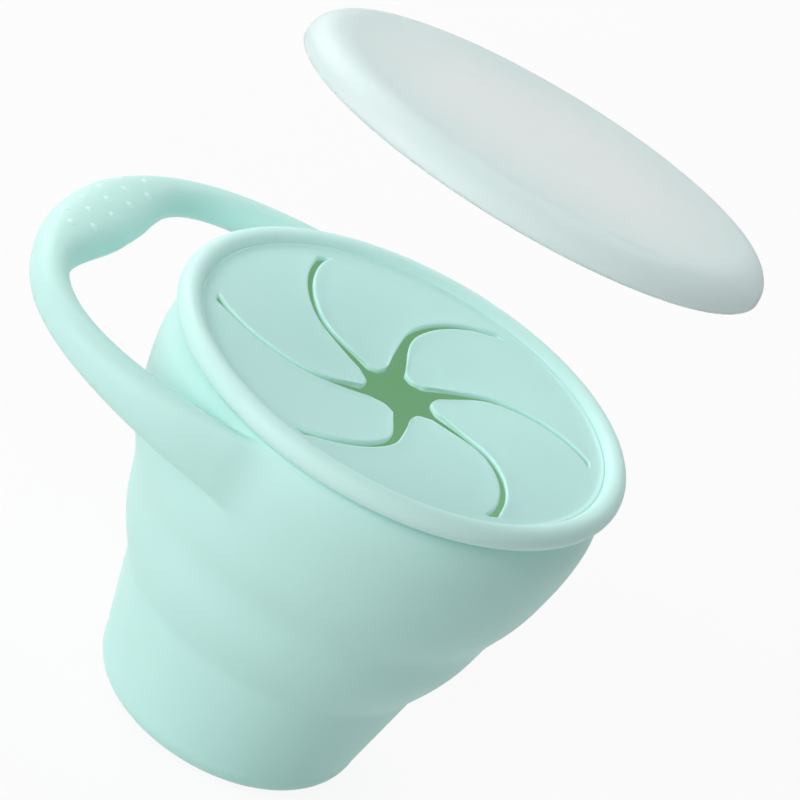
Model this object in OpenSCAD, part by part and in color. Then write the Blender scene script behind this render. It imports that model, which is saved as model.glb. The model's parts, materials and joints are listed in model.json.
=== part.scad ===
// Collapsible toddler snack cup. Three rigid tiers telescope through two soft folds, a loop
// handle grows out of the upper tier, a soft slit insert of six petals plugs into the rim,
// and a loose dust lid snaps over the rim bead.
// Millimetres, +Z up, origin at the middle of the foot. The handle points along -X.

/* [Rim] */
// Diameter over the rim bead
rim_d = 96; // [88:1:108]
// Thickness of the round rim bead
bead_d = 4.8; // [4:0.2:6]
// Height of the short neck under the bead, up to the bead's middle
neck_h = 3.5; // [3:0.1:6]
// How far the neck is pulled in from the outside of the bead
neck_in = 2.7; // [1.5:0.1:3.5]

/* [Tiers] */
// Height of the base tier
base_tier_h = 28; // [22:1:36]
// Height of the lower fold when the cup stands open
lower_fold_h = 14; // [8:0.5:18]
// Height of the middle tier
middle_tier_h = 6.5; // [4:0.5:14]
// Height of the upper fold when the cup stands open
upper_fold_h = 11.5; // [8:0.5:16]
// Height of the upper tier up to the neck
upper_tier_h = 21.5; // [20:0.5:30]
// Diameter of the base tier just above its bottom edge
base_low_d = 57; // [50:1:62]
// Diameter of the base tier at the lower fold
base_top_d = 66.4; // [62:0.2:70]
// Diameter of the middle tier
middle_d = 79; // [76:0.5:83]
// How far the widest place of the upper tier lies inside the rim bead
shoulder_in = 1.1; // [0.5:0.1:3]
// How far the upper tier narrows from its widest place down to the upper fold
upper_taper = 1.9; // [1:0.1:4]
// Height of the widest place above the upper fold
shoulder_h = 14; // [8:0.5:16]

/* [Walls] */
// Wall of the three tiers
wall = 2.2; // [1.8:0.1:2.8]
// Wall of the two soft folds
fold_wall = 1.2; // [0.8:0.1:1.6]
// Thickness of the floor
floor_t = 2.6; // [2:0.1:4]
// Radius of the rounded bottom edge
foot_fillet = 7.5; // [4:0.5:10]
// Middle radius of the ring groove under the foot
foot_groove_r = 15; // [10:0.5:16]
// Depth of the ring groove under the foot
foot_groove_depth = 0.8; // [0.4:0.1:1.2]

/* [Insert] */
// Thickness of the insert's plate and petals
insert_t = 1.8; // [1.4:0.1:2.2]
// How far the insert's top lies below the top of the bead
insert_drop = 2.1; // [1.6:0.1:3]
// Depth of the insert's skirt under its plate
insert_skirt_h = 6.5; // [5:0.5:9]
// Wall of the insert's skirt
insert_skirt_t = 1.8; // [1.2:0.1:2.4]
// Gap all round between the insert and the rim
insert_gap = 0.2; // [0.1:0.05:0.4]
// Thickness of the ledge that the insert stands on
ledge_t = 1.2; // [1:0.1:2]

/* [Petals] */
// Number of petals
petal_count = 6; // [5:1:7]
// Turn of the slits round the cup, from the side away from the handle
slit_phase = 20.5; // [0:0.5:60]
// Distance from the edge of the insert to the ends of the slits
slit_margin = 3.8; // [3.2:0.1:7]
// How far each slit bows out of a straight spoke
slit_bow = 9.9; // [7:0.1:11]
// Width of a slit at its outer end
slit_w = 1.7; // [1.2:0.1:2]
// Extra width of a slit near the middle
slit_flare = 1.6; // [0:0.1:3]
// Length of the cross cut at the end of each slit
slit_notch = 3.6; // [2.4:0.2:5]
// Radius of the open star in the middle
star_r = 5.6; // [4:0.2:7]
// Radius of the petal tips
tip_r = 2.4; // [1:0.1:3]
// Angle along a slit from its outer end to the root of the petal
root_turn = 27; // [20:1:32]
// How far the petals droop at rest, in degrees
petal_droop = 5.5; // [2:0.5:8]
// Gap round the rolled root of a petal
root_gap = 0.25; // [0.2:0.05:0.4]

/* [Handle] */
// Clear width between the rim bead and the grip
finger_gap = 13.6; // [12:0.2:22]
// How far the middle of the arms lies inside the widest place of the upper tier
arm_in = 0.6; // [0:0.1:2]
// Width to which the arms thin out inside the wall
arm_end_w = 2.4; // [1.6:0.1:3]
// How square the loop's bends are, from an ellipse at 2
loop_square = 3; // [2.4:0.1:3.6]
// Thickness of the bar at the bends
bar_d = 7.8; // [6:0.2:9]
// Thickness of the arms, top to bottom, where they meet the cup
arm_h = 16.9; // [12:0.2:17]
// Width of the grip, seen from above
grip_d = 15.4; // [11:0.2:17]
// Thickness of the grip, top to bottom
grip_h = 9.4; // [8:0.2:13]
// How much further the grip swells towards the cup than away from it
grip_lean = 1.2; // [0:0.1:2]
// Half length of the swollen grip
grip_half_len = 26; // [20:1:30]
// Angle at which the loop rises away from the cup
handle_rise = 3.5; // [0:0.1:6]
// Height of the neck above the middle of the arms, where they meet the cup
arm_drop = 8.2; // [8.2:0.1:11]
// Diameter of one grip bump
bump_d = 1.8; // [1.2:0.2:2.6]
// How far a bump stands proud of the grip
bump_h = 0.4; // [0.2:0.1:0.6]
// Distance between bumps along the grip
bump_pitch = 7.6; // [6:0.2:8]
// Distance between the rows of bumps
bump_row = 3.6; // [3:0.2:4]

/* [Lid] */
// Wall of the dust lid
lid_wall = 1; // [0.8:0.1:1.4]
// Gap between the rim bead and the lid's skirt
lid_gap = 0.4; // [0.3:0.05:0.8]
// Width of the lid's rounded edge, seen from above
lid_edge_w = 7; // [5.4:0.1:7]
// Height of the lid's rounded edge
lid_edge_h = 5.3; // [5.2:0.1:7]
// Straight height of the lid's skirt
lid_skirt_h = 1; // [0.8:0.1:3]
// Distance of the closed lid's rounded edge below the middle of the bead
lid_set_down = 0.7; // [0.2:0.05:0.7]
// Radius of the long arc on which the lid is lifted off
lid_arc_r = 301; // [250:1:400]
// Angle along that arc from the closed lid to the lid as it rests, taken off
lid_open = 10.05; // [9:0.05:12]

/* [Hidden] */
$fn = 96;
eps = 0.01;                                   // overlap of cutting tools past a face
curve_steps = 8;                              // points along each curved part of a wall
slit_steps = 14;                              // points along each edge of a slit
lid_steps = 12;                               // points along the lid's rounded edge

// Heights of the tiers' ends
lower_fold_z = base_tier_h;
middle_tier_z = lower_fold_z + lower_fold_h;
upper_fold_z = middle_tier_z + middle_tier_h;
upper_tier_z = upper_fold_z + upper_fold_h;
neck_z = upper_tier_z + upper_tier_h;
bead_z = neck_z + neck_h;
bead_r = rim_d / 2 - bead_d / 2;
neck_r = rim_d / 2 - neck_in;
shoulder_r = rim_d / 2 - shoulder_in;         // widest place of the upper tier
upper_low_r = shoulder_r - upper_taper;       // upper tier at the upper fold
seat_r = rim_d / 2 - bead_d;                  // bore that takes the insert

// Insert
insert_r = seat_r - insert_gap;
insert_top_z = bead_z + bead_d / 2 - insert_drop;
insert_skirt_z = insert_top_z - insert_t - insert_skirt_h;
ledge_r = insert_r - insert_skirt_t - insert_gap;
slit_reach = insert_r - slit_margin;          // radius at which the slits end

// Every slit is an arc through the middle of the insert and through the slit's outer end
slit_r = (pow(slit_reach / 2, 2) + pow(slit_bow, 2)) / (2 * slit_bow);
slit_cy = slit_bow - slit_r;
slit_c = [slit_reach / 2, slit_cy];
slit_end_a = atan2(-slit_cy, slit_reach / 2);
slit_mid_a = 180 - slit_end_a;
petal_turn = 360 / petal_count;
// The inner edge of a slit is the same arc moved sideways, which widens the slit inwards
flare_shift = slit_flare * [sin(slit_end_a), -cos(slit_end_a)];
// Ends of a petal's root: on its own slit, and at the outer end of the next slit
root_a = slit_c + slit_r * [cos(slit_end_a + root_turn), sin(slit_end_a + root_turn)];
root_b = slit_reach * [cos(petal_turn), sin(petal_turn)];
root_len = norm(root_b - root_a);
root_angle = atan2(root_b.y - root_a.y, root_b.x - root_a.x);
root_z = insert_top_z - insert_t / 2;

// Handle, in its own plane: a squared loop round a point just inside the wall. Angles run
// round that point from the middle of the grip.
loop_x = -10;                                 // middle of the loop's curve
loop_len = rim_d / 2 + finger_gap + grip_d / 2 + grip_lean + loop_x;
loop_half_w = shoulder_r - arm_in;
handle_z = neck_z - arm_drop;
loop_end_a = 103;                             // the arms have sunk into the wall here
arm_start_a = 32;                             // the bar starts to grow into the arms
arm_full_a = 107;                             // the arms would reach their full height
tuck_start_a = 45;                            // the arms start to bend in
arm_tuck = arm_end_w / 2 - arm_in + 0.2;      // brings their ends just under the wall's face
sink_start_a = 60;                            // the arms start to thin out
grip_flat = 9;                                // half length of the grip's even middle
loop_steps = 48;                              // rings along the loop
bar_sides = 18;                               // corners of one ring

// Lid
lid_r = rim_d / 2 + lid_gap + lid_wall;
lid_h = lid_skirt_h + lid_edge_h;
lid_seat_z = bead_z - lid_set_down - lid_skirt_h;

silicone = [0.70, 0.88, 0.86];
soft_silicone = [0.73, 0.88, 0.86];
frosted = [0.86, 0.91, 0.90];

function arc_points(c, r, a0, a1, n) =
    [for (i = [0 : n]) c + r * [cos(a0 + (a1 - a0) * i / n), sin(a0 + (a1 - a0) * i / n)]];
function oval_points(c, half, n) =
    [for (i = [0 : n]) c + [half.x * cos(90 * i / n), half.y * sin(90 * i / n)]];
function reversed(list) = [for (i = [len(list) - 1 : -1 : 0]) list[i]];
function inset(points, t) = [for (p = points) [p.x - t, p.y]];
function turned(points, a) =
    [for (p = points) [p.x * cos(a) - p.y * sin(a), p.x * sin(a) + p.y * cos(a)]];

// Outside of a soft fold: it leaves the lower tier slanting and meets the upper one upright
function fold_curve(r0, z0, r1, h) =
    [for (i = [0 : curve_steps]) let (t = i / curve_steps)
        [r0 + (r1 - r0) * (t + sin(90 * t)) / 2, z0 + h * t]];

// Outside of the upper tier, from the upper fold over the shoulder to the neck
upper_curve = concat(
    [for (i = [0 : curve_steps]) let (t = i / curve_steps)
        [upper_low_r + (shoulder_r - upper_low_r) * sin(90 * t),
         upper_tier_z + shoulder_h * t]],
    [for (i = [1 : curve_steps]) let (t = i / curve_steps)
        [neck_r + (shoulder_r - neck_r) * cos(90 * t),
         upper_tier_z + shoulder_h + (upper_tier_h - shoulder_h) * t]]);

// A wall of revolution from its outside curve
module tier_wall(outside, t)
    rotate_extrude() polygon(concat(outside, reversed(inset(outside, t))));

module base_tier() {
    low_r = base_low_d / 2;
    edge = arc_points([low_r - foot_fillet, foot_fillet], foot_fillet, -90, 0, curve_steps);
    inner_fillet = foot_fillet - wall;
    inner_edge = arc_points([low_r - foot_fillet, floor_t + inner_fillet], inner_fillet,
                            -90, 0, curve_steps);
    color(silicone) difference() {
        rotate_extrude() polygon(concat([[0, 0]], edge,
            [[base_top_d / 2, base_tier_h], [base_top_d / 2 - wall, base_tier_h]],
            reversed(inner_edge), [[0, floor_t]]));
        rotate_extrude() translate([foot_groove_r, 0]) circle(r = foot_groove_depth);
    }
}

module lower_fold()
    color(silicone) tier_wall(
        fold_curve(base_top_d / 2, lower_fold_z, middle_d / 2, lower_fold_h), fold_wall);

module middle_tier()
    color(silicone) tier_wall(
        [[middle_d / 2, middle_tier_z], [middle_d / 2, upper_fold_z]], wall);

module upper_fold()
    color(silicone) tier_wall(
        fold_curve(middle_d / 2, upper_fold_z, upper_low_r, upper_fold_h), fold_wall);

// The upper tier thickens inside to a ledge and a bore that hold the insert
module upper_tier() {
    ledge_z = insert_skirt_z - ledge_t;
    rise = seat_r - ledge_r;
    inside = [for (p = inset(upper_curve, wall)) if (p.y < ledge_z - rise) p];
    color(silicone) rotate_extrude() polygon(concat(upper_curve,
        [[seat_r, neck_z], [seat_r, insert_skirt_z], [ledge_r, insert_skirt_z],
         [ledge_r, ledge_z]], reversed(inside)));
}

module rim_bead()
    color(silicone) rotate_extrude() {
        translate([bead_r, bead_z]) circle(d = bead_d);
        translate([seat_r, neck_z]) square([neck_r - seat_r, neck_h]);
    }

function smooth(t) = let (u = min(1, max(0, t))) u * u * (3 - 2 * u);
// Squared curve of the loop
function loop_curve(a) =
    let (r = pow(pow(abs(cos(a)) / loop_len, loop_square)
                 + pow(abs(sin(a)) / loop_half_w, loop_square), -1 / loop_square))
    [loop_x - r * cos(a), r * sin(a)];
// Share of the grip's swelling and of the arms' growth
function swell(a) =
    1 - smooth((abs(loop_curve(a).y) - grip_flat) / (grip_half_len - grip_flat));
function arm(a) = smooth((abs(a) - arm_start_a) / (arm_full_a - arm_start_a));
// Middle line of the bar, with the grip leaning and the arms bending in towards the cup
function loop_point(a) =
    let (tuck = arm_tuck * smooth((abs(a) - tuck_start_a) / (loop_end_a - tuck_start_a)))
    loop_curve(a) + [grip_lean * swell(a), -sign(a) * tuck];
// Half width and half height of the bar
function bar_half(a) =
    let (thin = smooth((abs(a) - sink_start_a) / (loop_end_a - sink_start_a)),
         sunk = 1 - (1 - arm_end_w / bar_d) * thin)
    [(bar_d + (grip_d - bar_d) * swell(a)) / 2 * sunk,
     (bar_d + (grip_h - bar_d) * swell(a) + (arm_h - bar_d) * arm(a)) / 2];
function ring(a) =
    let (c = loop_point(a), half = bar_half(a), run = loop_point(a + 0.5) - loop_point(a - 0.5),
         out = [-run.y, run.x] / norm(run))
    [for (i = [0 : bar_sides - 1]) let (t = 360 * i / bar_sides)
        [c.x + half.x * cos(t) * out.x, c.y + half.x * cos(t) * out.y, half.y * sin(t)]];

module loop() {
    angles = [for (i = [0 : loop_steps]) loop_end_a * (2 * i / loop_steps - 1)];
    points = [for (a = angles) each ring(a)];
    n = bar_sides;
    sides = [for (i = [0 : loop_steps - 1], j = [0 : n - 1])
        [i * n + j, i * n + (j + 1) % n, (i + 1) * n + (j + 1) % n, (i + 1) * n + j]];
    polyhedron(points, concat([[for (j = [n - 1 : -1 : 0]) j]], sides,
                              [[for (j = [0 : n - 1]) loop_steps * n + j]]));
}

// Three staggered rows of low bumps over the top of the grip
module grip_bumps()
    for (row = [-1 : 1], i = [-2 : 2]) {
        y = (i + (row == 0 ? 0.5 : 0)) * bump_pitch;
        a = asin(y / loop_len);
        half = bar_half(a);
        turn = asin((row * bump_row - grip_lean) / half.x);
        lean = atan2(sin(turn) / half.x, cos(turn) / half.y);
        if (y < 2.4 * bump_pitch)
            translate([loop_point(a).x + half.x * sin(turn), y, half.y * cos(turn)])
                rotate([0, lean, 0]) translate([0, 0, -bump_d / 2])
                    cylinder(h = bump_d / 2 + bump_h, d1 = bump_d, d2 = 0.6 * bump_d, $fn = 9);
    }

module carry_handle()
    color(silicone) difference() {
        translate([loop_x, 0, handle_z]) rotate([0, handle_rise, 0]) translate([-loop_x, 0, 0]) {
            loop();
            grip_bumps();
        }
        rotate_extrude() polygon(concat([[0, upper_tier_z]], upper_curve, [[0, neck_z]]));
    }

// Outer end of a slit and the petal-side edge up to the root of the petal
function ring_edge(k) = turned(
    concat([slit_c + flare_shift + (slit_r - slit_w / 2) * [cos(slit_end_a), sin(slit_end_a)]],
           arc_points(slit_c, slit_r + slit_w / 2, slit_end_a, slit_end_a + root_turn, 4)),
    k * petal_turn);

// Axis of a petal's root
module root_bar(r, past)
    translate([root_a.x, root_a.y, root_z]) rotate([0, 0, root_angle]) rotate([0, 90, 0])
        translate([0, 0, -past]) cylinder(h = root_len + 2 * past, r = r);

module flap_ring()
    color(soft_silicone) rotate(slit_phase) {
        difference() {
            translate([0, 0, insert_top_z - insert_t]) linear_extrude(insert_t) difference() {
                circle(r = insert_r);
                polygon([for (k = [0 : petal_count - 1]) each ring_edge(k)]);
                for (k = [0 : petal_count - 1]) rotate(k * petal_turn)
                    translate([slit_reach, 0]) square([slit_w, slit_notch], center = true);
            }
            for (k = [0 : petal_count - 1]) rotate(k * petal_turn)
                root_bar(insert_t / 2 + root_gap, 0);
        }
        translate([0, 0, insert_skirt_z]) difference() {
            cylinder(h = insert_skirt_h, r = insert_r);
            translate([0, 0, -eps])
                cylinder(h = insert_skirt_h + 2 * eps, r = insert_r - insert_skirt_t);
        }
    }

// Outline of one petal: between two slits, short of the star, with a round tip
module petal_outline() {
    past = 30;                                // degrees by which the arcs run past the root
    near = arc_points(slit_c, slit_r + slit_w / 2, slit_end_a - past, slit_mid_a, slit_steps);
    far = turned(arc_points(slit_c + flare_shift, slit_r - slit_w / 2, slit_mid_a,
                            slit_end_a - past, slit_steps), petal_turn);
    intersection() {
        offset(r = tip_r, $fn = 24) offset(delta = -tip_r) difference() {
            polygon(concat(near, far));
            circle(r = star_r, $fn = 48);
        }
        translate(root_a) rotate(root_angle) translate([-slit_reach, 0])
            square([3 * slit_reach, 2 * slit_reach]);
    }
}

module petal(k)
    color(soft_silicone) rotate(slit_phase + (k - 1) * petal_turn)
        translate([root_a.x, root_a.y, root_z]) rotate([0, 0, root_angle])
            rotate([-petal_droop, 0, 0]) {
                rotate([0, 0, -root_angle]) translate([-root_a.x, -root_a.y, -insert_t / 2])
                    linear_extrude(insert_t) petal_outline();
                translate([root_gap, 0, 0]) rotate([0, 90, 0])
                    cylinder(h = root_len - slit_w, r = insert_t / 2);
            }

// The lid as it closes over the bead, from the lower edge of its skirt
module lid_shell() {
    c = [lid_r - lid_edge_w, lid_skirt_h];
    edge = [lid_edge_w, lid_edge_h];
    rotate_extrude() polygon(concat(
        [[lid_r - lid_wall, 0], [lid_r, 0]],
        oval_points(c, edge, lid_steps), [[0, lid_h], [0, lid_h - lid_wall]],
        reversed(oval_points(c, edge - [lid_wall, lid_wall], lid_steps))));
}

module dust_lid()
    color(frosted) translate([0, lid_arc_r, lid_seat_z]) rotate([-lid_open, 0, 0])
        translate([0, -lid_arc_r, 0]) lid_shell();

base_tier();
lower_fold();
middle_tier();
upper_fold();
upper_tier();
rim_bead();
carry_handle();
flap_ring();
petal(1);  // petal_1
petal(2);  // petal_2
petal(3);  // petal_3
petal(4);  // petal_4
petal(5);  // petal_5
petal(6);  // petal_6
dust_lid();
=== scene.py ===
import json
import math

import bmesh
import bpy
from mathutils import Matrix, Vector


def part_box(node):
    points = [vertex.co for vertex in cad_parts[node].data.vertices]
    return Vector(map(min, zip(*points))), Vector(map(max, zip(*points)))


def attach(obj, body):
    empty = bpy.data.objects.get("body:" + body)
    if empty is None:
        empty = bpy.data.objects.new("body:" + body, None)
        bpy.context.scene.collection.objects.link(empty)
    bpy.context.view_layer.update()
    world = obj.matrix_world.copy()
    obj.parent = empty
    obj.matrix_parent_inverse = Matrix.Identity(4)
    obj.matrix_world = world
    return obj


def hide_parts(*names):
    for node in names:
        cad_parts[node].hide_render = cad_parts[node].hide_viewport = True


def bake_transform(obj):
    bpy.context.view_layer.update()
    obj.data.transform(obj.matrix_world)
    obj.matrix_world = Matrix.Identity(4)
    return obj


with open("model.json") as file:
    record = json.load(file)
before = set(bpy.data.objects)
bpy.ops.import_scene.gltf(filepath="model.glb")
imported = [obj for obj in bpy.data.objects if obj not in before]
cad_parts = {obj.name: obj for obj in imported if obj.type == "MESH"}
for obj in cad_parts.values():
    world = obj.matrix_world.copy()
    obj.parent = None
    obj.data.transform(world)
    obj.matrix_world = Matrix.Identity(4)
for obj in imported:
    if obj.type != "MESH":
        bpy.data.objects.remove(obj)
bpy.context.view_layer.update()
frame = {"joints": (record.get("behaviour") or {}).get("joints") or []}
joints = {joint["name"]: joint for joint in frame["joints"]}
MM = 0.001

# The cup, in millimetres, in the frame of the CAD model: +Z up, the handle along -X.
rim_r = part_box("rim_bead")[1].x / MM
bead_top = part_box("rim_bead")[1].z / MM
bead_half = 2.4
bead_z = bead_top - bead_half
bead_r = rim_r - bead_half
bore_r = rim_r - 2 * bead_half
neck_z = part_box("upper_tier")[1].z / MM
neck_r = rim_r - 2.7            # the neck is pulled in under the bead
shoulder_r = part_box("upper_tier")[1].x / MM
lower_fold_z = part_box("lower_fold")[0].z / MM
middle_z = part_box("middle_tier")[0].z / MM
upper_fold_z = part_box("upper_fold")[0].z / MM
upper_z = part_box("upper_tier")[0].z / MM
base_top_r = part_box("base_tier")[1].x / MM
middle_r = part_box("middle_tier")[1].x / MM
upper_low_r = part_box("upper_fold")[1].x / MM
shoulder_h = 14
middle_low_r, middle_high_r = middle_r - 0.3, middle_r + 1.1
foot_r, foot_fillet = 28.7, 6.0
floor_t = 2.6
crease, fold_gain, top_loss = 1.4, 1.2, 1.3     # softness: more at the upper fold, less above
skin = 1.3                      # visible wall of the soft skins
row_h = 0.6                     # height of one row of faces on the walls
lap = 2                         # reach of the fold skins past their folds, up to the next piece
fine = 200                      # faces round the upper pieces
sharp = math.radians(50)        # edges that turn by more are shaded as sharp


def smooth(t):
    """Soft step from 0 to 1."""
    t = min(1.0, max(0.0, t))
    return t * t * (3 - 2 * t)


# ---------------------------------------------------------------- materials

def new_material(name):
    """A new material, with its tree, its shader and its Object coordinates."""
    material = bpy.data.materials.new(name)
    material.use_nodes = True
    tree = material.node_tree
    shader = tree.nodes["Principled BSDF"]
    where = tree.nodes.new("ShaderNodeTexCoord").outputs["Object"]
    return material, tree, shader, where


def noise(tree, where, scale, detail=2.0):
    """Soft noise whose scale counts its features in a metre."""
    node = tree.nodes.new("ShaderNodeTexNoise")
    node.inputs["Scale"].default_value = scale
    node.inputs["Detail"].default_value = detail
    tree.links.new(where, node.inputs["Vector"])
    return node.outputs["Fac"]


def mixed(tree, fac, first, second):
    """A colour between two."""
    node = tree.nodes.new("ShaderNodeMix")
    node.data_type = "RGBA"
    node.inputs["A"].default_value = (*first, 1)
    node.inputs["B"].default_value = (*second, 1)
    tree.links.new(fac, node.inputs["Factor"])
    return node.outputs["Result"]


def map_range(tree, value, to_min, to_max, from_min=0.0, from_max=1.0):
    """A value moved from one range to another."""
    node = tree.nodes.new("ShaderNodeMapRange")
    node.inputs["From Min"].default_value = from_min
    node.inputs["From Max"].default_value = from_max
    node.inputs["To Min"].default_value = to_min
    node.inputs["To Max"].default_value = to_max
    tree.links.new(value, node.inputs["Value"])
    return node.outputs["Result"]


def add_grain(tree, where, shader, scale, strength, depth):
    """Fine grain as bump, with its depth in millimetres."""
    bump = tree.nodes.new("ShaderNodeBump")
    bump.inputs["Strength"].default_value = strength
    bump.inputs["Distance"].default_value = depth * MM
    tree.links.new(noise(tree, where, scale, 1), bump.inputs["Height"])
    tree.links.new(bump.outputs["Normal"], shader.inputs["Normal"])


def silicone(name, colour, roughness=0.5, glow=0.05, glow_colour=None):
    """Matte moulded silicone: cloudy tone, satin patches and a fine spark-eroded grain.
    The faint glow stands for light that scatters inside it."""
    material, tree, shader, where = new_material(name)
    deep = [c * 0.96 for c in colour]
    cloud = noise(tree, where, 38, 3)
    tree.links.new(mixed(tree, cloud, deep, colour), shader.inputs["Base Color"])
    satin = noise(tree, where, 260)
    rough = map_range(tree, satin, roughness - 0.06, roughness + 0.06)
    tree.links.new(rough, shader.inputs["Roughness"])
    add_grain(tree, where, shader, 5200, 0.25, 0.012)
    shader.inputs["Specular IOR Level"].default_value = 0.35
    shader.inputs["Sheen Weight"].default_value = 0.1
    shader.inputs["Sheen Roughness"].default_value = 0.5
    shader.inputs["Emission Color"].default_value = (*(glow_colour or colour), 1)
    shader.inputs["Emission Strength"].default_value = glow
    return material


def add_painted_edge_light(material, low, high):
    """Painted light: emission at the steep edges, which the mesh marks, stands for light that
    travels along a thin sheet and leaves there.
    """
    tree = material.node_tree
    mark = tree.nodes.new("ShaderNodeAttribute")
    mark.attribute_name = "steepness"
    strength = map_range(tree, mark.outputs["Fac"], low, high, from_min=0.02, from_max=0.5)
    tree.links.new(strength, tree.nodes["Principled BSDF"].inputs["Emission Strength"])


def frosted_plastic(centre):
    """Thin translucent plastic with a fine frost: greener at the edge, and paler in the middle,
    which paints the glare on the flat top.
    """
    material, tree, shader, where = new_material("frosted plastic")
    away = tree.nodes.new("ShaderNodeVectorMath")
    away.operation = "DISTANCE"
    away.inputs[1].default_value = centre
    tree.links.new(where, away.inputs[0])
    ring = map_range(tree, away.outputs["Value"], 0, 0.75, from_min=20 * MM, from_max=46 * MM)
    cloud = tree.nodes.new("ShaderNodeMath")
    cloud.operation = "MULTIPLY_ADD"
    cloud.inputs[1].default_value = 0.5
    tree.links.new(noise(tree, where, 30, 3), cloud.inputs[0])
    tree.links.new(ring, cloud.inputs[2])
    # Painted glare: the pale middle colour stands for light mirrored in the flat top.
    painted_glare, green = (0.96, 0.98, 0.98), (0.82, 0.93, 0.92)
    tree.links.new(mixed(tree, cloud.outputs[0], painted_glare, green), shader.inputs["Base Color"])
    add_grain(tree, where, shader, 4000, 0.3, 0.01)
    shader.inputs["Roughness"].default_value = 0.5
    shader.inputs["Transmission Weight"].default_value = 0.5
    shader.inputs["IOR"].default_value = 1.4
    return material


# Painted light: a faint glow, greener than the silicone, lifts and tints the shaded side of the
# cup.
cup_silicone = silicone("cup silicone", (0.55, 0.79, 0.75), glow=0.08,
                        glow_colour=(0.1, 0.79, 0.66))
# Painted light: the bead is the same silicone, made paler and glowing so that it looks lit from
# above.
rim_silicone_painted_lighter = silicone("rim silicone painted lighter", (0.56, 0.82, 0.78), glow=0.1)
# Painted highlight: the grip's dots are the same silicone, made paler and glowing so that they
# shine.
dot_silicone_painted_highlight = silicone("grip dot silicone painted bright", (0.59, 0.84, 0.80), glow=0.1)
insert_silicone = silicone("insert silicone", (0.51, 0.79, 0.75), roughness=0.55)
# Painted light: the slits' steep edges glow, so that the petals' lips look lit.
add_painted_edge_light(insert_silicone, 0.05, 0.2)
# Painted light and shade: the darker, greener colour stands for shade and light bounced round
# inside the cup, and the strong glow for daylight that comes through the thin walls.
inside_silicone_painted_bounce = silicone("cup inside silicone with painted light", (0.42, 0.66, 0.46), roughness=0.6,
                           glow=0.25, glow_colour=(0.37, 0.56, 0.38))


# ---------------------------------------------------------------- shared mesh steps

def as_mesh(name, bm, materials=()):
    """A new mesh with its materials from a bmesh, which is freed."""
    mesh = bpy.data.meshes.new(name)
    bm.to_mesh(mesh)
    bm.free()
    for material in materials:
        mesh.materials.append(material)
    return mesh


def added(name, data):
    """A new object in the scene, at the origin."""
    thing = bpy.data.objects.new(name, data)
    bpy.context.scene.collection.objects.link(thing)
    return thing


def finished(bm, name, body, materials, replaced=(), bend=None):
    """Makes a piece from a bmesh in millimetres and ties it to its body; given a bend, it is only
    fixed in place in the world.
    """
    bmesh.ops.scale(bm, vec=(MM, MM, MM), verts=bm.verts)
    for face in bm.faces:
        face.smooth = True
    for edge in bm.edges:
        edge.smooth = edge.calc_face_angle(0) < sharp
    piece = added(name, as_mesh(name, bm, materials))
    if bend:
        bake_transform(piece)
    else:
        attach(piece, body)
    if replaced:
        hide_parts(*replaced)


def mark_inside(bm):
    """Gives the faces that look into the cup the second material, which has the painted inside
    light and shade.
    """
    inward, level = 0.3, 0.7
    for face in bm.faces:
        middle = face.calc_center_median()
        faces_axis = face.normal.xy.dot(middle.xy) < -inward * middle.xy.length
        if faces_axis or face.normal.z > level and middle.xy.length < foot_r:
            face.material_index = 1


def turned(points, steps=160):
    """A closed solid of revolution from a closed outline of (radius, height) points."""
    bm = bmesh.new()
    verts = [bm.verts.new((r, 0, z)) for r, z in points]
    # A pair of points on the axis gets no edge, because it would sweep no face.
    pairs = zip(verts, verts[1:] + verts[:1])
    edges = [bm.edges.new(pair) for pair in pairs if max(pair[0].co.x, pair[1].co.x) > 0]
    bmesh.ops.spin(bm, geom=verts + edges, cent=(0, 0, 0), axis=(0, 0, 1),
                   angle=2 * math.pi, steps=steps, use_merge=True)
    bmesh.ops.remove_doubles(bm, verts=bm.verts, dist=0.001)
    bmesh.ops.recalc_face_normals(bm, faces=bm.faces)
    return bm


def oval_arc(centre, half_w, half_h, start, end, count):
    """Points on an oval arc, with its angles in degrees."""
    angles = [math.radians(start + (end - start) * i / count) for i in range(count + 1)]
    return [(centre[0] + half_w * math.cos(a), centre[1] + half_h * math.sin(a)) for a in angles]


def arc(centre, radius, start, end, count):
    """Points on a round arc."""
    return oval_arc(centre, radius, radius, start, end, count)


def steps_between(low, high, step=row_h):
    """Even steps from low to high, of about a given size."""
    count = max(1, round((high - low) / step))
    return [low + (high - low) * i / count for i in range(count + 1)]


def modified(bm, kind, materials=(), **settings):
    """A new bmesh with one modifier applied. The old one is freed."""
    raw = added("raw", as_mesh("raw", bm, materials))
    modifier = raw.modifiers.new("shaping", kind)
    for name, value in settings.items():
        setattr(modifier, name, value)
    shaped = raw.evaluated_get(bpy.context.evaluated_depsgraph_get())
    out = bmesh.new()
    out.from_mesh(shaped.to_mesh())
    shaped.to_mesh_clear()
    bpy.data.objects.remove(raw)
    return out


# ---------------------------------------------------------------- wall of the cup

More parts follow.
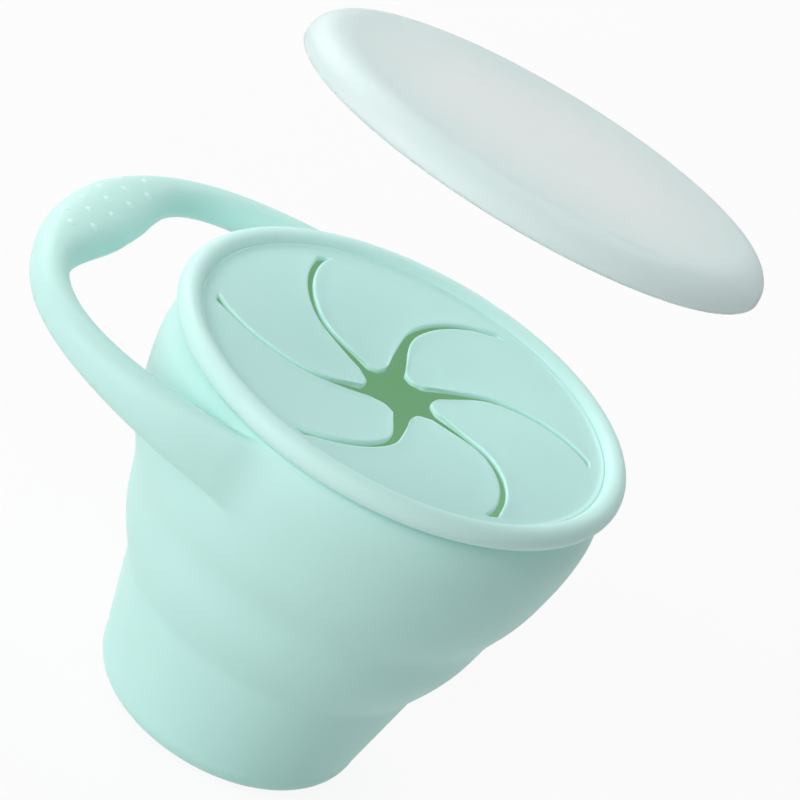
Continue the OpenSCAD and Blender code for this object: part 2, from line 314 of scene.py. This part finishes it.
def crisp_r(z):
    """Outside radius of the cup at a height, with sharp creases."""
    if z < lower_fold_z:
        return foot_r + (base_top_r - foot_r) * (z - foot_fillet) / (lower_fold_z - foot_fillet)
    for z0, z1, r0, r1 in ((lower_fold_z, middle_z, base_top_r, middle_low_r),
                           (upper_fold_z, upper_z, middle_high_r, upper_low_r)):
        if z0 <= z < z1:
            t = (z - z0) / (z1 - z0)
            return r0 + (r1 - r0) * (t + math.sin(math.pi / 2 * t)) / 2
    if z < upper_fold_z:
        t = (z - middle_z) / (upper_fold_z - middle_z)
        return middle_low_r + (middle_high_r - middle_low_r) * t
    if z < upper_z + shoulder_h:
        t = (z - upper_z) / shoulder_h
        return upper_low_r + (shoulder_r - upper_low_r) * math.sin(math.pi / 2 * t)
    t = min(1, (z - upper_z - shoulder_h) / (neck_z - upper_z - shoulder_h))
    return neck_r + (shoulder_r - neck_r) * math.cos(math.pi / 2 * t)


def wall_r(z):
    """Outside radius of the cup at a height, with soft creases, softest at the upper fold."""
    fold_over, top_over = 4, 6
    reach = crease + fold_gain * smooth((z - middle_z) / fold_over)
    reach -= top_loss * smooth((z - upper_z) / top_over)
    samples = [crisp_r(z + reach * k / 4) for k in range(-4, 5)]
    return sum(samples) / len(samples)


def base():
    """Foot with its ring groove, floor and the lowest tier."""
    groove_r, groove = 15, 0.8
    foot_wall = 2.2
    inner = foot_fillet - foot_wall
    top = lower_fold_z - lap
    outside = [(0, 0)] + arc((groove_r, 0), groove, 180, 0, 6)
    outside += arc((foot_r - foot_fillet, foot_fillet), foot_fillet, -90, 0, 10)
    heights = steps_between(foot_fillet + row_h, top)
    outside += [(wall_r(z), z) for z in heights]
    inside = [(wall_r(z) - skin, z) for z in reversed(heights)]
    inside += reversed(arc((foot_r - foot_fillet, floor_t + inner), inner, -90, 0, 8))
    bm = turned(outside + inside + [(0, floor_t)])
    mark_inside(bm)
    finished(bm, "base", "base", [cup_silicone, inside_silicone_painted_bounce], ["base_tier"])


def band(name, low, high, body, replaced, bend=None):
    """A ring of the soft wall between two heights."""
    heights = steps_between(low, high)
    points = [(wall_r(z), z) for z in heights]
    points += [(wall_r(z) - skin, z) for z in reversed(heights)]
    bm = turned(points)
    mark_inside(bm)
    finished(bm, name, body, [cup_silicone, inside_silicone_painted_bounce], replaced, bend=bend)


def soft_walls():
    """The two folds, which stretch across their joints, and the middle tier between them."""
    fold_low = (0, 0, lower_fold_z * MM), (0, 0, middle_z * MM)
    fold_high = (0, 0, upper_fold_z * MM), (0, 0, upper_z * MM)
    middle_low, middle_high = middle_z + lap, upper_fold_z - lap
    band("lower_fold_skin", lower_fold_z - lap, middle_low, None, ["lower_fold"],
         ("base", "middle", *fold_low))
    band("middle_band", middle_low, middle_high, "middle", ["middle_tier"])
    band("upper_fold_skin", middle_high, upper_z + lap, None, ["upper_fold"],
         ("middle", "upper", *fold_high))


# ---------------------------------------------------------------- handle and upper wall

loop_x, loop_y, loop_len, loop_half_w = -10, 0.4, 60.5, 46.5    # centre, length, half width
near_square, far_square = 3, 2.7                # how square the loop's two corners are
bar_d, arm_h, arm_end_w, arm_tuck = 7.8, 16.9, 2.4, 0.8
grip_d, grip_h, grip_lean = 15.5, 8.9, 1.0
grip_shift, grip_flat, grip_half_len = 2.2, 2.5, 31     # along Y: middle, even part, half length
handle_rise, handle_z = 3.5, neck_z - 8.2       # tilt in degrees, and height
arm_sinks_x, arm_ends_x = -16, -3               # along X, where the arms sink into the wall
# Places along the loop, in degrees from the grip.
arm_grows_from, arm_grows_over, tuck_from, thins_from, loop_end = 32, 75, 45, 60, 103


def loop_curve(a):
    """Squared curve of the handle in its own plane, at an angle in degrees from the grip."""
    c, s = math.cos(math.radians(a)), math.sin(math.radians(a))
    square = far_square if s > 0 else near_square
    r = ((abs(c) / loop_len) ** square + (abs(s) / loop_half_w) ** square) ** (-1 / square)
    return Vector((loop_x - r * c, loop_y + r * s, 0))


def swell(a):
    """Share of the grip's swelling at an angle."""
    away = abs(loop_curve(a).y - grip_shift)
    return 1 - smooth((away - grip_flat) / (grip_half_len - grip_flat))


def loop_point(a):
    """Middle line of the bar: the grip leans and the arms bend in towards the cup."""
    tuck = arm_tuck * smooth((abs(a) - tuck_from) / (loop_end - tuck_from))
    return loop_curve(a) + Vector((grip_lean * swell(a), -math.copysign(tuck, a), 0))


def bar_half(a):
    """Half width and half height of the bar: grip, bar, taller arm, then the sunk end."""
    arm = smooth((abs(a) - arm_grows_from) / arm_grows_over)
    thin = smooth((abs(a) - thins_from) / (loop_end - thins_from))
    sunk = 1 - (1 - arm_end_w / bar_d) * thin
    wide = (bar_d + (grip_d - bar_d) * swell(a)) / 2 * sunk
    tall = (bar_d + (grip_h - bar_d) * swell(a) + (arm_h - bar_d) * arm) / 2
    return wide, tall


def to_handle_place():
    """Matrix that lifts and tilts the handle from its own plane."""
    shift = Matrix.Translation((loop_x, 0, handle_z))
    tilt = Matrix.Rotation(math.radians(handle_rise), 4, "Y")
    return shift @ tilt @ Matrix.Translation((-loop_x, 0, 0))


def station(a):
    """Frame of the bar's cross-section at an angle, scaled to its half sizes."""
    step = 0.5
    along = (loop_point(a + step) - loop_point(a - step)).normalized()
    out = Vector((-along.y, along.x, 0))
    wide, tall = bar_half(a)
    m = Matrix.Identity(4)
    m.col[0][:3] = out * wide
    m.col[1][:3] = (0, 0, tall)
    m.col[2][:3] = along
    m.col[3][:3] = loop_point(a)
    return m


def add_loop(bm):
    """Sweeps the handle's bar round its loop."""
    count = 120
    angles = [loop_end * (2 * i / count - 1) for i in range(count + 1)]
    first = station(angles[0])
    made = bmesh.ops.create_circle(bm, cap_ends=True, segments=32, radius=1, matrix=first)
    ring = list(dict.fromkeys(e for v in made["verts"] for e in v.link_edges))
    before = first
    for a in angles[1:]:
        now = station(a)
        grown = bmesh.ops.extrude_edge_only(bm, edges=ring)["geom"]
        verts = [g for g in grown if isinstance(g, bmesh.types.BMVert)]
        ring = [g for g in grown if isinstance(g, bmesh.types.BMEdge)
                and all(v in verts for v in g.verts)]
        bmesh.ops.transform(bm, matrix=now @ before.inverted(), verts=verts)
        before = now
    bmesh.ops.contextual_create(bm, geom=ring)
    bmesh.ops.recalc_face_normals(bm, faces=bm.faces)
    bmesh.ops.transform(bm, matrix=to_handle_place(), verts=bm.verts)


def settle_on_wall(bm, low, high):
    """Puts the plain wall back on its true outline and sinks the arms' ends gently into it."""
    inner_skin, top_edge = 0.35, 1.2            # the inside and the top edge stay as they are
    on_wall, fade = 0.08, 0.3                   # what is this near to the outline goes onto it
    join, full_join, join_fade = 0.5, 2, 6      # how the handle's sides run into the wall
    for vert in bm.verts:
        r, z = vert.co.xy.length, vert.co.z
        if z < low:
            continue
        off = r - wall_r(z)
        if off < -inner_skin or off < 0 and z > high - top_edge:
            continue
        keep = smooth((abs(off) - on_wall) / fade)
        if off > 0:
            sunk = smooth((vert.co.x - arm_sinks_x) / (arm_ends_x - arm_sinks_x))
            soft = join / (off + join) * (1 - smooth((off - full_join) / join_fade))
            keep = (1 - sunk) * (1 - soft)
        vert.co.xy *= (wall_r(z) + off * keep) / r


def upper_cup():
    """Upper tier with the loop handle growing out of it, as one moulded skin."""
    cut, high = upper_z + lap, neck_z + 0.6
    # The remesh rounds the lower edge, so the wall starts lower and is cut off afterwards.
    spare, rounded = 4, 1.5
    low = cut - spare
    heights = steps_between(low, high)
    inside_r, margin, bore_low, wall = bore_r - 0.1, 0.3, 75.8, 1.4
    voxel, rounding = 0.62, 12
    points = [(wall_r(z), z) for z in heights]
    points += [(inside_r, high), (inside_r, bore_low), (wall_r(low) - wall, low)]
    bm = turned(points, fine)
    loop = bmesh.new()
    add_loop(loop)
    holder = as_mesh("loop", loop)
    bm.from_mesh(holder)
    bpy.data.meshes.remove(holder)
    whole = modified(bm, "REMESH", mode="VOXEL", voxel_size=voxel)
    for _ in range(rounding):
        bmesh.ops.smooth_vert(whole, verts=whole.verts, factor=0.5,
                              use_axis_x=True, use_axis_y=True, use_axis_z=True)
    settle_on_wall(whole, low + rounded, high)
    bmesh.ops.bisect_plane(whole, geom=whole.verts[:] + whole.edges[:] + whole.faces[:],
                           plane_co=(0, 0, cut), plane_no=(0, 0, 1), clear_inner=True)
    open_edges = [e for e in whole.edges if e.is_boundary]
    bmesh.ops.triangle_fill(whole, edges=open_edges, use_beauty=True, normal=(0, 0, -1))
    # Faces near the bore get the inside material, with its painted light and shade.
    for face in whole.faces:
        if face.calc_center_median().xy.length < inside_r + margin:
            face.material_index = 1
    finished(whole, "upper_cup", "upper", [cup_silicone, inside_silicone_painted_bounce],
             ["upper_tier", "carry_handle"])


def rim():
    """Round bead over a pulled-in neck."""
    low, high = neck_z + 0.4, neck_z + 1.2
    overlap, turn_under = 0.25, 6
    neck = [(neck_r, low), (neck_r + 0.02, high)]
    join = math.degrees(math.acos(min(1, (neck_r - bead_r + overlap) / bead_half)))
    bead = arc((bead_r, bead_z), bead_half, -join - turn_under, 180, 40)
    points = neck + bead + [(bore_r, bead_z), (bore_r, low)]
    finished(turned(points, fine), "rim_bead_skin", "upper", [rim_silicone_painted_lighter], ["rim_bead"])


def grip_bumps():
    """Three staggered rows of low soft bumps on top of the grip."""
    bump_r, proud, spacing, row_gap, shift = 0.95, 0.24, 7.7, 3.5, 1.6
    sunk, root = 0.08, -0.5
    rings = [bump_r * k / 8 for k in range(8, -1, -1)]
    profile = [(r, proud * (1 + math.cos(math.pi * r / bump_r)) / 2 - sunk) for r in rings]
    shape = turned([(0, root), (bump_r, root)] + profile, 24)
    one = as_mesh("bump", shape)
    bm = bmesh.new()
    for row in (-1, 0, 1):
        count = 5 if row == 0 else 4
        for i in range(count):
            y = (i - (count - 1) / 2) * spacing + shift
            a = math.degrees(math.asin(y / loop_len))
            wide, tall = bar_half(a)
            turn = math.asin((row * row_gap - grip_lean) / wide)
            spot = loop_point(a) + Vector((wide * math.sin(turn), 0, tall * math.cos(turn)))
            out = Vector((math.sin(turn) / wide, 0, math.cos(turn) / tall)).normalized()
            place = Matrix.Translation(spot) @ out.to_track_quat("Z", "Y").to_matrix().to_4x4()
            bm.from_mesh(one)
            new = bm.verts[-len(one.vertices):]
            bmesh.ops.transform(bm, matrix=to_handle_place() @ place, verts=new)
    bpy.data.meshes.remove(one)
    finished(bm, "grip_bumps", "upper", [dot_silicone_painted_highlight])


# ---------------------------------------------------------------- petal insert

insert_top = bead_top - 2.1     # the plate lies below the top of the bead
insert_t = 1.2
insert_r = bore_r - 0.2
plate_r = bore_r + 0.02
slit_reach, slit_bow = 40.0, 10.1               # radius of the slits' ends, and their bow
slit_circle = ((slit_reach / 2) ** 2 + slit_bow ** 2) / (2 * slit_bow)
slit_turn = math.degrees(math.acos(slit_reach / (2 * slit_circle)))
slit_phase = 20.5               # degrees from +X to the outer end of the first slit
slit_hook = 7                   # degrees by which the slits turn in less near the star
hook_from, hook_over = 23, 14   # radius where that starts, and the length it takes
slit_narrow, slit_lip = 0.68, 0.2               # half width, and rise of the lips
trumpet, trumpet_len = 0.6, 1.8
opening, opening_from, opening_over = 1.15, 20, 13
petals = 6
star_r = 6.9                    # radius of the petals' tips
tip_depth, tip_len = 2.7, 9     # how far the corners of a tip are drawn back
edge_rise, edge_w = 0.6, 1.0    # the plate's outer edge turns up against the bead
sag = 3.0


def slit_angle(r):
    """Angle in degrees of a slit's middle line at a radius, from its outer end."""
    angle = math.degrees(math.acos(min(1, r / (2 * slit_circle)))) - slit_turn
    return angle - slit_hook * smooth((hook_from - r) / hook_over)


def slit_half(r):
    """Half width of a slit: a trumpet at its end, narrow, then open towards the star."""
    end = trumpet * smooth((r - slit_reach + trumpet_len) / trumpet_len)
    return slit_narrow + end + opening * smooth((opening_from - r) / opening_over)


def insert_z(r):
    """Top of the insert: sagging towards the star, level, then turned up at its edge."""
    lift = edge_rise * smooth((r - plate_r + edge_w) / edge_w)
    return insert_top - sag * smooth(1 - r / (slit_reach - 1)) + lift


def sector():
    """A petal with half a slit on each side: a grid warped between two swirling slits."""
    sector_turn = 360 / petals
    tip_square = 2.2                # a tip's outline: 2 is an ellipse, and more is squarer
    lip_at, lip_w = 0.03, 0.06      # as shares of the petal's width
    # Rows of faces lie close together where the plate bends or ends.
    inner = steps_between(0, 1, 1 / 22)
    radii = [star_r + (slit_reach - star_r) * t for t in inner]
    radii.insert(-1, slit_reach - 0.5)
    radii.insert(1, star_r + 0.45)
    outer = [slit_reach + 0.5, slit_reach + 1.4, plate_r - 0.9, plate_r - 0.4, plate_r]
    first_outer = len(radii) - 1
    radii += outer
    across = [0, 0.03, 0.10] + [0.2 + 0.1 * i for i in range(7)] + [0.90, 0.97, 1]
    extra = 2                       # columns in half a slit, kept past its outer end only
    columns = len(across) + 2 * extra
    bm = bmesh.new()
    bmesh.ops.create_grid(bm, x_segments=len(radii) - 1, y_segments=columns - 1, size=0.5)
    spot = {}                       # row along the slit and column across it, of each vertex
    for vert in bm.verts:
        i = round((vert.co.x + 0.5) * (len(radii) - 1))
        j = round((vert.co.y + 0.5) * (columns - 1))
        spot[vert] = (i, j)
    gone = []
    for face in bm.faces:
        i = sum(spot[v][0] for v in face.verts) / 4
        j = sum(spot[v][1] for v in face.verts) / 4
        if i < first_outer and (j < extra or j > columns - 1 - extra):
            gone.append(face)
    for vert, (i, j) in spot.items():
        r = radii[i]
        on_petal = extra <= j <= columns - 1 - extra
        lip = 0
        if on_petal:
            v = across[j - extra]
            tip = 1 - math.sqrt(1 - abs(2 * v - 1) ** tip_square)
            r += tip_depth * tip * smooth(1 - (r - star_r) / tip_len)
            if i < first_outer:
                lip = slit_lip * smooth(1 - abs(min(v, 1 - v) - lip_at) / lip_w)
        half = math.degrees(slit_half(min(r, slit_reach)) / r)
        if on_petal:
            angle = half + (sector_turn - 2 * half) * v
        elif j < extra:
            angle = half * j / extra
        else:
            angle = sector_turn - half * (columns - 1 - j) / extra
        angle = math.radians(slit_phase + slit_angle(min(r, slit_reach)) + angle)
        vert.co = (r * math.cos(angle), r * math.sin(angle), insert_z(r) + lip)
    bmesh.ops.delete(bm, geom=gone, context="FACES")
    return bm


def membrane():
    """The slit plate: a ring of joined sectors with a thickness. Material k marks petal k + 1."""
    bm = sector()
    first = bm.faces[:]
    for k in range(1, petals):
        turn = Matrix.Rotation(2 * math.pi * k / petals, 3, "Z")
        copy = bmesh.ops.duplicate(bm, geom=first)["geom"]
        bmesh.ops.rotate(bm, cent=(0, 0, 0), matrix=turn,
                         verts=[g for g in copy if isinstance(g, bmesh.types.BMVert)])
        for face in copy:
            if isinstance(face, bmesh.types.BMFace):
                face.material_index = k
    bmesh.ops.remove_doubles(bm, verts=bm.verts, dist=0.01)
    bmesh.ops.recalc_face_normals(bm, faces=bm.faces)
    if sum(f.normal.z for f in bm.faces) < 0:
        bmesh.ops.reverse_faces(bm, faces=bm.faces)
    bmesh.ops.solidify(bm, geom=bm.faces[:], thickness=insert_t)
    return bm


def petal_pieces():
    """Splits the membrane into one piece for each petal."""
    bend_out, bend_in = 3 * MM, 5 * MM      # reach of the bend from the joint's axis
    slots = [insert_silicone] * petals
    whole = modified(membrane(), "SUBSURF", slots, levels=2, render_levels=2)
    keep = as_mesh("membrane", whole)
    for k in range(petals):
        bm = bmesh.new()
        bm.from_mesh(keep)
        others = [f for f in bm.faces if f.material_index != k]
        bmesh.ops.delete(bm, geom=others, context="FACES")
        for face in bm.faces:
            face.material_index = 0
        bm.normal_update()
        # Steepness marks where the painted edge light goes.
        steepness = bm.verts.layers.float.new("steepness")
        for vert in bm.verts:
            vert[steepness] = 1 - abs(vert.normal.z)
        # Its two seams to its neighbours, past the ends of the slits, are closed.
        seams = [e for e in bm.edges if e.is_boundary]
        bmesh.ops.holes_fill(bm, edges=seams, sides=0)
        bmesh.ops.recalc_face_normals(bm, faces=bm.faces)
        joint = joints[f"petal_{k + 1}_bend"]
        root = Vector(joint["pos_m"])
        inward = Vector((0, 0, 1)).cross(Vector(joint["axis"])).normalized()
        bend = ("insert", f"petal_{k + 1}", root - bend_out * inward, root + bend_in * inward)
        finished(bm, f"petal_skin_{k + 1}", None, [insert_silicone],
                 [f"petal_{k + 1}"], bend)
    bpy.data.meshes.remove(keep)


def insert_skirt():
    """Short wall under the plate that plugs into the rim."""
    overlap, depth, gap, wall = 0.4, 8.3, 0.15, 1.6
    bevel_w, bevel_h = 0.3, 0.5
    top = insert_top - insert_t + overlap
    low = insert_top - depth
    outer = insert_r - gap
    inner = outer - wall
    points = [(outer, low + bevel_h), (outer, top), (inner, top), (inner, low + bevel_h)]
    points += [(inner + bevel_w, low), (outer - bevel_w, low)]
    bm = turned(points)
    mark_inside(bm)
    finished(bm, "insert_skirt", "insert", [insert_silicone, inside_silicone_painted_bounce],
             ["flap_ring"])


# ---------------------------------------------------------------- lid

def dust_lid():
    """Thin shell with a rounded edge and a short skirt that snaps over the bead, swung open."""
    wall, gap, round_w, round_h, skirt, set_down = 1.0, 0.4, 7.0, 5.3, 1.0, 0.7
    bevel, ring_w = 0.3, 6
    outer = rim_r + gap + wall
    height = skirt + round_h
    centre = (outer - round_w, skirt)
    points = [(outer - wall, bevel), (outer - wall + bevel, 0), (outer - bevel, 0), (outer, bevel)]
    points += oval_arc(centre, round_w, round_h, 0, 90, 20)
    points += [(outer - round_w - ring_w * k, height) for k in range(1, 7)] + [(0, height)]
    points += [(0, height - wall)]
    points += oval_arc(centre, round_w - wall, round_h - wall, 90, 0, 16)
    bm = turned(points, fine)
    joint = joints["lid_lift"]
    pivot = Vector(joint["pos_m"]) / MM
    closed = bead_z - set_down - skirt
    opened = math.radians(joint["range_deg"][0])
    turn = Matrix.Rotation(opened, 4, "X")
    swing = Matrix.Translation(pivot) @ turn @ Matrix.Translation(-pivot)
    bmesh.ops.transform(bm, matrix=swing @ Matrix.Translation((0, 0, closed)), verts=bm.verts)
    middle = swing @ Vector((0, 0, closed + height))
    frosted = frosted_plastic(middle * MM)
    finished(bm, "lid_shell", "lid", [frosted], ["dust_lid"])


# ---------------------------------------------------------------- stage

def seen_as_white(tree):
    """1 for rays that should meet a white background: seen, mirrored or seen through."""
    rays = tree.nodes.new("ShaderNodeLightPath")
    share = rays.outputs["Is Camera Ray"]
    for name in ("Is Glossy Ray", "Is Transmission Ray"):
        either = tree.nodes.new("ShaderNodeMath")
        either.operation = "MAXIMUM"
        tree.links.new(share, either.inputs[0])
        tree.links.new(rays.outputs[name], either.inputs[1])
        share = either.outputs[0]
    return share


def floor():
    """Pale floor that keeps the object's shadow and shows nearly white."""
    half_w, white_share = 4, 0.9
    bm = bmesh.new()
    bmesh.ops.create_grid(bm, x_segments=1, y_segments=1, size=half_w)
    material = bpy.data.materials.new("pale floor")
    material.use_nodes = True
    tree = material.node_tree
    shader = tree.nodes["Principled BSDF"]
    shader.inputs["Base Color"].default_value = (0.85, 0.85, 0.85, 1)
    shader.inputs["Roughness"].default_value = 0.9
    shader.inputs["Specular IOR Level"].default_value = 0
    glow = tree.nodes.new("ShaderNodeEmission")
    glow.inputs["Strength"].default_value = 1
    share = tree.nodes.new("ShaderNodeMath")
    share.operation = "MULTIPLY"
    share.inputs[1].default_value = white_share
    tree.links.new(seen_as_white(tree), share.inputs[0])
    blend = tree.nodes.new("ShaderNodeMixShader")
    tree.links.new(share.outputs[0], blend.inputs["Fac"])
    tree.links.new(shader.outputs[0], blend.inputs[1])
    tree.links.new(glow.outputs[0], blend.inputs[2])
    tree.links.new(blend.outputs[0], tree.nodes["Material Output"].inputs["Surface"])
    plane = added("floor", as_mesh("floor", bm, [material]))


def camera():
    """Long lens that looks down at the mouth of the cup, rolled, with no depth of field."""
    eye = Vector((0.0952, -0.5943, 0.3944))
    right = Vector((0.8226, 0.3617, 0.4387))
    ahead = Vector((-0.1391, 0.8761, -0.4616)).normalized()
    right = (right - right.dot(ahead) * ahead).normalized()
    up = right.cross(ahead)
    data = bpy.data.cameras.new("camera")
    data.lens, data.sensor_width = 157.5, 36
    data.clip_end = 20
    cam = added("camera", data)
    cam.matrix_world = Matrix.Translation(eye) @ Matrix((right, up, -ahead)).transposed().to_4x4()
    bpy.context.scene.camera = cam
    return right, up, ahead


def lamp(name, place, aim, power):
    """A round soft lamp that looks at a point."""
    size = 0.8
    data = bpy.data.lights.new(name, "AREA")
    data.shape, data.size, data.energy = "DISK", size, power
    light = added(name, data)
    light.location = place
    light.rotation_euler = (aim - place).to_track_quat("-Z", "Y").to_euler()


def studio(right, up, ahead):
    """Four soft lamps round the middle of the object, and an even world."""
    middle = Vector((0, 0, 0.06))
    lamp("key light", middle - 0.8 * right + 0.5 * up - 1.0 * ahead, middle, 9.3)
    lamp("top light", middle - 0.3 * right + 1.2 * up + 0.5 * ahead, middle, 6.6)
    lamp("side light", middle + 0.8 * right + 1.0 * up + 0.2 * ahead, middle, 3.2)
    lamp("front light", middle + 0.6 * up - 1.15 * ahead, middle, 3.0)
    world = bpy.data.worlds.new("studio")
    bpy.context.scene.world = world
    world.use_nodes = True
    tree = world.node_tree
    background = tree.nodes["Background"]
    background.inputs["Color"].default_value = (1, 1, 1, 1)
    level = map_range(tree, seen_as_white(tree), 0.23, 1)
    tree.links.new(level, background.inputs["Strength"])


bpy.context.scene.view_settings.view_transform = "Standard"
directions = camera()
base()
soft_walls()
upper_cup()
rim()
grip_bumps()
petal_pieces()
insert_skirt()
dust_lid()
floor()
studio(*directions)
